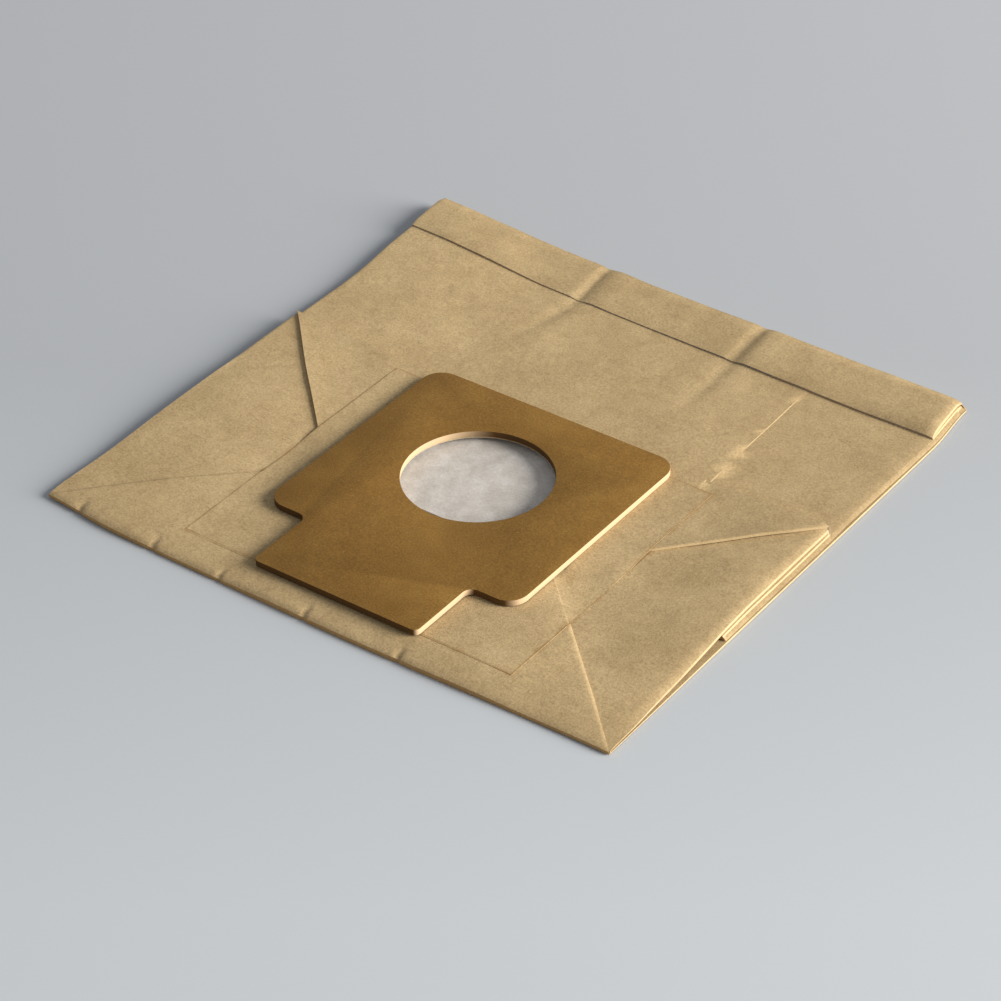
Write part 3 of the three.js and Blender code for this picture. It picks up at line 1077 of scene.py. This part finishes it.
    def relief(self, tree: bpy.types.NodeTree, where: Link, mottle: bpy.types.Node) -> Link:
        """Raise the grain over wide shallow dents.

        Args:
            tree: The material's node tree.
            where: The object coordinates.
            mottle: The noise of the mottle.

        Returns:
            The normal.
        """
        dent = add_node(tree, "ShaderNodeTexNoise", Vector=where, Scale=scale_of(self.dent_mm),
                        Detail=3.0, Roughness=0.5)
        dented = add_node(tree, "ShaderNodeBump", Strength=1.0, Distance=self.dent_height_mm * MM,
                          Height=(dent, "Fac"))
        grain = add_node(tree, "ShaderNodeTexNoise", Vector=where, Scale=scale_of(self.grain_mm),
                         Detail=2.0, Roughness=0.6)
        rough = add_node(tree, "ShaderNodeMath", {"operation": "ADD"}, _0=(grain, "Fac"),
                         _1=(mottle, "Fac"))
        grained = add_node(tree, "ShaderNodeBump", Strength=0.8, Distance=self.grain_height_mm * MM,
                           Height=(rough, "Value"), Normal=(dented, "Normal"))
        return grained, "Normal"

    def build(self) -> bpy.types.Material:
        """Build the node material.

        Returns:
            The finished material.
        """
        material, tree = new_material(self.name)
        where: Link = (add_node(tree, "ShaderNodeTexCoord"), "Object")
        mottle = add_node(tree, "ShaderNodeTexNoise", Vector=where, Scale=scale_of(self.mottle_mm),
                          Detail=4.0, Roughness=0.75)
        colour = self.with_fibres(tree, where, self.mottled(tree, where, mottle))
        if self.glue_amount > 0:
            colour = tinted(tree, colour, self.glue_line(tree, where), self.glue)
        matt = add_node(tree, "ShaderNodeMapRange", Value=(mottle, "Fac"), From_Min=0.3, From_Max=0.7,
                        To_Min=self.roughness - 0.05, To_Max=self.roughness + 0.07)
        shader = add_node(tree, "ShaderNodeBsdfPrincipled", Base_Color=self.painted_fold_light(tree, colour),
                          Roughness=(matt, "Result"), Normal=self.relief(tree, where, mottle), IOR=1.45,
                          Specular_IOR_Level=0.25)
        add_node(tree, "ShaderNodeOutputMaterial", Surface=(shader, "BSDF"))
        return material


@dataclass(frozen=True)
class GreyBoard:
    """Dense brown board, pressed smooth on its faces, which gives them a dull even sheen.

    Its cut edges are painted: a pale painted highlight where they face the lamp on the right, and dark
    painted shade elsewhere. Its grit is under 0.2 mm, so the specks are drawn coarser to show in the render.
    """

    name: str = "brown_board_pressed"
    face: str = "825E28"
    face_dark: str = "7B5823"
    face_light: str = "8A662D"
    # Painted highlight on cut edges that face right, towards the lamp.
    painted_edge_highlight: str = "CDB08A"
    # Painted shade on the upright cut edges.
    painted_edge_shade: str = "4A2F12"
    fleck: str = "A98A5C"
    fleck_mm: float = 2.4
    fleck_amount: float = 0.45
    speck_mm: float = 0.55
    speck_dark: float = 0.62
    speck_light: float = 1.42
    speck_amount: float = 0.7
    cloud_mm: float = 14.0
    roughness: float = 0.72
    grain_height_mm: float = 0.03

    def face_colour(self, tree: bpy.types.NodeTree, where: Link, speck: bpy.types.Node) -> Link:
        """Give the colour of the pressed faces.

        Args:
            tree: The material's node tree.
            where: The object coordinates.
            speck: The noise of the fine specks.

        Returns:
            The colour: cloudy, specked, and with single pale flecks.
        """
        cloud = add_node(tree, "ShaderNodeTexNoise", Vector=where, Scale=scale_of(self.cloud_mm),
                         Detail=4.0, Roughness=0.6)
        tone = add_node(tree, "ShaderNodeValToRGB",
                        {"stops": [(0.30, linear(self.face_dark)), (0.5, linear(self.face)),
                                   (0.72, linear(self.face_light))]},
                        Fac=(cloud, "Fac"))
        specks = add_node(tree, "ShaderNodeValToRGB",
                          {"stops": [(0.30, grey(self.speck_dark)), (0.50, grey(1.0)),
                                     (0.70, grey(self.speck_light))]},
                          Fac=(speck, "Fac"))
        face = add_node(tree, "ShaderNodeMixRGB", {"blend_type": "MULTIPLY"}, Fac=self.speck_amount,
                        Color1=(tone, "Color"), Color2=(specks, "Color"))
        pale = add_node(tree, "ShaderNodeTexVoronoi", Vector=where, Scale=scale_of(self.fleck_mm))
        picked = add_node(tree, "ShaderNodeMapRange", Value=(pale, "Distance"), From_Min=0.13,
                          From_Max=0.05, To_Min=0.0, To_Max=self.fleck_amount)
        return tinted(tree, (face, "Color"), (picked, "Result"), self.fleck)

    def build(self) -> bpy.types.Material:
        """Build the node material.

        Returns:
            The finished material.
        """
        material, tree = new_material(self.name)
        where: Link = (add_node(tree, "ShaderNodeTexCoord"), "Object")
        speck = add_node(tree, "ShaderNodeTexNoise", Vector=where, Scale=scale_of(self.speck_mm),
                         Detail=3.0, Roughness=0.65)
        geometry = add_node(tree, "ShaderNodeNewGeometry")
        normal = add_node(tree, "ShaderNodeSeparateXYZ", Vector=(geometry, "Normal"))
        # Painted shade: upright cut edges are painted dark brown.
        painted_edge_shade_mask = add_node(tree, "ShaderNodeMapRange", Value=(normal, "Z"), From_Min=0.75, From_Max=0.3,
                           To_Min=0.0, To_Max=0.8)
        # Painted highlight: cut edges whose normal faces right, towards the lamp, are painted pale.
        to_right = add_node(tree, "ShaderNodeMapRange", Value=(normal, "X"), From_Min=0.4, From_Max=0.9,
                            To_Min=0.0, To_Max=1.0)
        colour = tinted(tree, self.face_colour(tree, where, speck), (painted_edge_shade_mask, "Result"), self.painted_edge_shade)
        colour = tinted(tree, colour, (to_right, "Result"), self.painted_edge_highlight)
        grained = add_node(tree, "ShaderNodeBump", Strength=0.7, Distance=self.grain_height_mm * MM,
                           Height=(speck, "Fac"))
        shader = add_node(tree, "ShaderNodeBsdfPrincipled", Base_Color=colour, Roughness=self.roughness,
                          Normal=(grained, "Normal"), IOR=1.45, Specular_IOR_Level=0.3)
        add_node(tree, "ShaderNodeOutputMaterial", Surface=(shader, "BSDF"))
        return material


@dataclass(frozen=True)
class SeamlessBackdrop:
    """Pale grey studio paper, matt, with painted light: its tone is painted paler in front. The painted tones
    run along the line of sight.
    """

    name: str = "backdrop_paper_uncoated"
    near: str = "C4C7C9"
    middle: str = "B3B5B7"
    far: str = "B8B9BC"
    near_m: float = -0.20
    far_m: float = 0.30
    view_turn: float = math.radians(35.7)

    def build(self) -> bpy.types.Material:
        """Build the node material.

        Returns:
            The finished material.
        """
        material, tree = new_material(self.name)
        turned = add_node(tree, "ShaderNodeMapping", Rotation=(0.0, 0.0, -self.view_turn),
                          Vector=(add_node(tree, "ShaderNodeTexCoord"), "Object"))
        axes = add_node(tree, "ShaderNodeSeparateXYZ", Vector=(turned, "Vector"))
        share = add_node(tree, "ShaderNodeMapRange", Value=(axes, "Y"), From_Min=self.near_m,
                         From_Max=self.far_m, To_Min=0.0, To_Max=1.0)
        # Painted light: the backdrop's tone is painted paler near the camera than further back.
        tone = add_node(tree, "ShaderNodeValToRGB",
                        {"stops": [(0.0, linear(self.near)), (0.5, linear(self.middle)),
                                   (1.0, linear(self.far))]},
                        Fac=(share, "Result"))
        shader = add_node(tree, "ShaderNodeBsdfPrincipled", Base_Color=(tone, "Color"), Roughness=0.9,
                          Specular_IOR_Level=0.1)
        add_node(tree, "ShaderNodeOutputMaterial", Surface=(shader, "BSDF"))
        return material


class Paper(Enum):
    """The papers of the bag: machine-made kraft outside, wet-laid filter tissue inside."""

    KRAFT = PulpPaper("kraft_machine_made", base="B69C72", dark="AE946B", light="BFA57A", fleck="77593A",
                      glue_amount=0.75)
    LINER = PulpPaper("filter_tissue_wet_laid", base="CAC2B8", dark="BDB4AA", light="D8D1C9",
                      fleck="A3968A", cloud_mm=6.0, mottle_mm=0.8, grain_mm=0.35, roughness=0.95,
                      fleck_amount=0.3, mottle_amount=0.35, painted_highlight_amount=0.0, painted_warm_shade_amount=0.0)


# The pieces


def dress(piece: bpy.types.Object, material: bpy.types.Material, slot: str, *nodes: str) -> None:
    """Give a piece its material, hang it under the root body and hide the solids that it stands for.

    Args:
        piece: The finished piece.
        material: Its material.
        slot: Not used.
        *nodes: The solids that it stands for.
    """
    piece.data.materials.clear()
    piece.data.materials.append(material)
    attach(piece, "root")
    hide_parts(*nodes)


@dataclass
class FoldedPly:
    """One ply of the bag, folded from a single sheet. Cuts are in millimetres.

    side_cuts are x, front_cuts and back_cuts are y, and the others count from the nick, valley or mitred
    edge that they lie along.
    """

    node: str
    name: str
    material: bpy.types.Material
    slot: str
    form: SoftForm
    waves: Sequence[tuple[Cockle, float]]
    draped: bool = False
    glue_mm: float = 0.03
    grid: float = 4.0
    side_cuts: tuple[float, ...] = (99.75, 99.4, 98.9, 98.3, 97.6, 96.8)
    front_cuts: tuple[float, ...] = (0.35, 0.9, 1.8, 4.4, 5.6)
    back_cuts: tuple[float, ...] = (197.6, 198.8, 199.6)
    nick_cuts: tuple[float, ...] = (-1.4, -0.6, 0.0, 0.6, 1.4)
    valleys_x: tuple[float, ...] = (-35.5, 27.2)
    valley_cuts: tuple[float, ...] = (-4.2, -2.6, -1.2, 0.0, 1.2, 2.6, 4.2)
    mitre_cuts: tuple[float, ...] = (0.3, 0.7, 1.1, 2.4, 4.5)
    draped_cuts: tuple[float, ...] = (-6.0, -3.0, 0.3)
    flat_deg: float = 1.0
    smooth_deg: float = 38.0

    def lines_across(self) -> list[float]:
        """List the cuts across x.

        Returns:
            An even grid, and close lines at the side folds, the nicks and the soft creases.
        """
        half_width = self.form.stack.half_width
        even = np.arange(self.grid - half_width, half_width, self.grid)
        left_cuts = [-place for place in self.side_cuts]
        nicks = [place + step for place in self.form.nicks.places for step in self.nick_cuts]
        valleys = [place + step for place in self.valleys_x for step in self.valley_cuts]
        return sorted([*even, *self.side_cuts, *left_cuts, *nicks, *valleys])

    def lines_along(self) -> list[float]:
        """List the cuts along y: an even grid, and close lines at the pressed creases."""
        even = np.arange(self.grid, self.form.stack.length, self.grid)
        return sorted([*even, *self.front_cuts, *self.back_cuts])

    def cut_mitres(self, piece: bpy.types.Object) -> None:
        """Cut faces beside the mitred edges of the flaps.

        Args:
            piece: The ply.
        """
        stack = self.form.stack
        to_front = (stack.half_width - stack.length / 2) / math.sqrt(2)
        to_back = (stack.base_depth - stack.half_width - stack.length / 2) / math.sqrt(2)
        steps = self.draped_cuts if self.draped else self.mitre_cuts
        for side in (-1, 1):
            forward = Vector((side, 1, 0)).normalized()
            backward = Vector((-side, 1, 0)).normalized()
            cut_across(piece, forward, [to_front - step for step in steps])
            cut_across(piece, backward, [to_back + step for step in steps])

    def cut_seam(self, piece: bpy.types.Object) -> None:
        """Cut faces along the edge of the lap seam.

        Args:
            piece: The ply.
        """
        seam = self.form.seam
        across = Vector((seam.end[1] - seam.start[1], seam.start[0] - seam.end[0], 0)).normalized()
        place = Vector((seam.start[0], seam.start[1] - self.form.stack.length / 2, 0)).dot(across)
        cut_across(piece, across, [place, place + seam.edge])

    def reshape(self, piece: bpy.types.Object, move: Callable[[Array], Array]) -> None:
        """Move a mesh's points.

        Args:
            piece: The mesh object.
            move: Turns rows of x, y and z in millimetres, y from the front fold, into the moved ones.
        """
        fold_shift = np.array([0.0, self.form.stack.length / 2, 0.0])
        moved = move(coordinates(piece) / MM + fold_shift)
        set_coordinates(piece, (moved - fold_shift) * MM)

    def levelled(self, points: Array) -> Array:
        """Undo the solids' creases, so that each panel is level and can be cut in small faces."""
        heights = self.form.stack.flattened(points[:, 1], points[:, 2])
        return np.column_stack([points[:, 0], points[:, 1], heights])

    def settled(self, points: Array) -> Array:
        """Lay the level ply as the paper lies, after the patch has been laid over the flaps under it.

        Args:
            points: Rows of x, y and z in millimetres, y from the front fold.

        Returns:
            The moved points.
        """
        if self.draped:
            x, y, z = points.T
            under = self.form.stack.under_patch(x, y)
            points = np.column_stack([x, y, under + z - z.min() + self.glue_mm])
        return self.form.laid(points, self.waves)

    def build(self) -> bpy.types.Object:
        """Cut the flat ply into small faces and lay it as the paper lies.

        Returns:
            The finished ply.
        """
        piece = copy_of_node(self.node, self.name)
        self.reshape(piece, self.levelled)
        activate(piece)
        bpy.ops.object.mode_set(mode="EDIT")
        bpy.ops.mesh.select_all(action="SELECT")
        bpy.ops.mesh.tris_convert_to_quads(face_threshold=math.radians(self.flat_deg),
                                           shape_threshold=math.pi)
        bpy.ops.object.mode_set(mode="OBJECT")
        middle_y = self.form.stack.length / 2
        cut_across(piece, Vector((1, 0, 0)), self.lines_across())
        cut_across(piece, Vector((0, 1, 0)), [place - middle_y for place in self.lines_along()])
        self.cut_mitres(piece)
        self.cut_seam(piece)
        self.reshape(piece, self.settled)
        activate(piece)
        bpy.ops.object.shade_smooth_by_angle(angle=math.radians(self.smooth_deg))
        dress(piece, self.material, self.slot, self.node)
        return piece


@dataclass
class CollarPlate:
    """The die-cut card plate with the inlet."""

    form: SoftForm
    node: str = "collar_plate"
    name: str = "collar_board"
    slot: str = "card"
    rim_mm: float = 0.22
    rim_segments: int = 3
    flat_deg: float = 0.5
    sharp_deg: float = 60.0
    smooth_deg: float = 40.0

    def build(self) -> bpy.types.Object:
        """Round the plate's cut edges and lay it on the leaning base.

        Returns:
            The finished plate.
        """
        piece = copy_of_node(self.node, self.name)
        activate(piece)
        bpy.ops.object.mode_set(mode="EDIT")
        bpy.ops.mesh.select_all(action="SELECT")
        bpy.ops.mesh.dissolve_limited(angle_limit=math.radians(self.flat_deg))
        bpy.ops.mesh.select_all(action="DESELECT")
        bpy.ops.mesh.select_mode(type="EDGE")
        bpy.ops.mesh.edges_select_sharp(sharpness=math.radians(self.sharp_deg))
        bpy.ops.mesh.bevel(offset=self.rim_mm * MM, segments=self.rim_segments, profile=0.5,
                           clamp_overlap=True)
        bpy.ops.object.mode_set(mode="OBJECT")
        bpy.ops.object.shade_smooth_by_angle(angle=math.radians(self.smooth_deg))
        points = coordinates(piece) / MM
        points[:, 2] += self.form.lean(points[:, 0], points[:, 1] + self.form.stack.length / 2)
        set_coordinates(piece, points * MM)
        dress(piece, GreyBoard().build(), self.slot, self.node)
        return piece


# The studio


@dataclass
class Studio:
    """Pale surface, one large soft lamp from the right and the camera. Metres, degrees and watts."""

    camera_place: tuple[float, float, float] = (0.47792, -0.67346, 0.58887)
    aim: tuple[float, float, float] = (0.009683, -0.022739, 0.0)
    lens_mm: float = 120.39
    sensor_mm: float = 36.0
    surface_size: float = 6.0
    lamp_azimuth: float = 69.0
    lamp_elevation: float = 20.0
    lamp_distance: float = 3.2
    lamp_size: float = 2.1
    lamp_watts: float = 232.0
    lamp_tint: tuple[float, float, float] = (1.0, 0.985, 0.955)
    world_tint: str = "E4E9F0"
    world_strength: float = 0.41

    def surface(self) -> None:
        """Lay the backdrop."""
        deselect_all()
        bpy.ops.mesh.primitive_plane_add(size=self.surface_size, location=(0, 0, 0))
        floor = bpy.context.object
        floor.name = "backdrop"
        floor.data.materials.append(SeamlessBackdrop().build())

    def aimed(self, thing: bpy.types.Object, target: Vector) -> None:
        """Turn a lamp or camera towards a point."""
        thing.rotation_euler = (target - thing.location).to_track_quat("-Z", "Y").to_euler()

    def lamp(self) -> None:
        """Hang the soft lamp: its azimuth counts from +Y towards +X."""
        azimuth = math.radians(self.lamp_azimuth)
        elevation = math.radians(self.lamp_elevation)
        data = bpy.data.lights.new("window_light", "AREA")
        data.shape = "DISK"
        data.size = self.lamp_size
        data.energy = self.lamp_watts
        data.color = self.lamp_tint
        light = bpy.data.objects.new("window_light", data)
        light.location = Vector((math.sin(azimuth) * math.cos(elevation),
                                 math.cos(azimuth) * math.cos(elevation),
                                 math.sin(elevation))) * self.lamp_distance
        bpy.context.scene.collection.objects.link(light)
        self.aimed(light, Vector((0, 0, 0)))

    def world(self) -> None:
        """Fill the shade with an even cool light."""
        world = bpy.data.worlds.new("studio_fill")
        world.use_nodes = True
        background = world.node_tree.nodes["Background"]
        background.inputs["Color"].default_value = linear(self.world_tint)
        background.inputs["Strength"].default_value = self.world_strength
        bpy.context.scene.world = world

    def camera(self) -> None:
        """Place the camera at the photograph's viewing angle."""
        data = bpy.data.cameras.new("camera")
        data.sensor_width = self.sensor_mm
        data.lens = self.lens_mm
        camera = bpy.data.objects.new("camera", data)
        camera.location = self.camera_place
        bpy.context.scene.collection.objects.link(camera)
        self.aimed(camera, Vector(self.aim))
        bpy.context.scene.camera = camera

    def build(self) -> None:
        """Set up the whole studio."""
        bpy.context.scene.view_settings.view_transform = "Standard"
        self.surface()
        self.lamp()
        self.world()
        self.camera()


def main() -> None:
    """Build the bag piece by piece and report each."""
    logging.basicConfig(level=logging.INFO, format="%(name)s: %(message)s")
    Studio().build()
    kraft, liner = (paper.value.build() for paper in Paper)
    form = SoftForm()
    waves = ((Cockle(11, 38.0), 1.0), (Cockle(23, 17.0), 0.55), (Cockle(37, 9.0), 0.22))
    makers: list[FoldedPly | CollarPlate] = [
        FoldedPly("kraft_bag", "kraft_sheet", kraft, "kraft_paper", form, waves),
        FoldedPly("filter_liner", "liner_sheet", liner, "filter_paper", form, waves),
        FoldedPly("base_patch", "patch_sheet", kraft, "kraft_paper", form, waves, draped=True),
        CollarPlate(form),
    ]
    for maker in makers:
        piece = maker.build()
        LOG.info("%s: %d faces", piece.name, len(piece.data.polygons))


if __name__ == "__main__":
    main()
